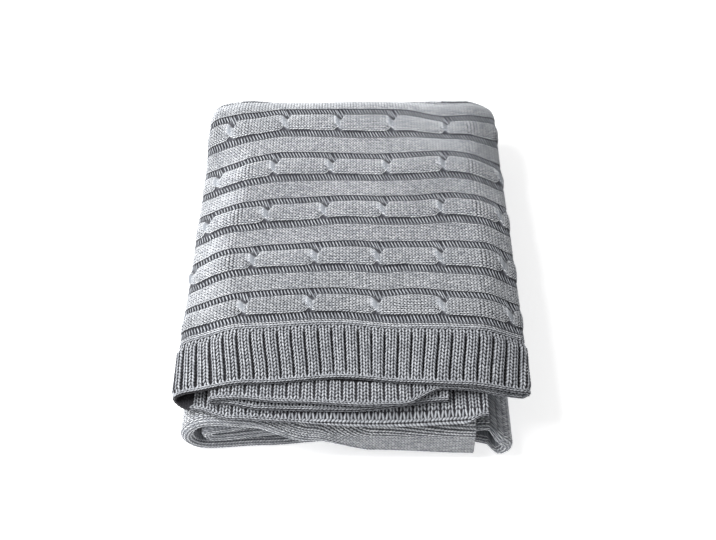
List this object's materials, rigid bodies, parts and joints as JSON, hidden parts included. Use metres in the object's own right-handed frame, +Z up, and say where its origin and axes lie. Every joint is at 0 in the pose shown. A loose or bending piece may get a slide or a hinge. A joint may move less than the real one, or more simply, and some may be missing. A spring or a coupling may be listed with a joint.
{
  "type": "folded cable-knit throw blanket",
  "caption": "Grey cable-knit throw with a ribbed border, folded into a flat stack of loose layers, its cabled side outwards.",
  "frame": {"origin": "centre of the underside of the folded stack, where it rests", "axes": "+Z up, -Y towards the ribbed front edges, +X to the right as seen from the front"},
  "size_m": [0.4606, 0.6028, 0.1298],
  "materials": {
    "cable_knit": "matt mid-grey cotton-type yarn, knitted in plain bands and two-strand cables",
    "rib_knit": "the same matt grey yarn in a deep upright rib"
  },
  "bodies": {
    "root": {"cable_body": "cable_knit", "rib_border": "rib_knit"}
  },
  "joints": []
}
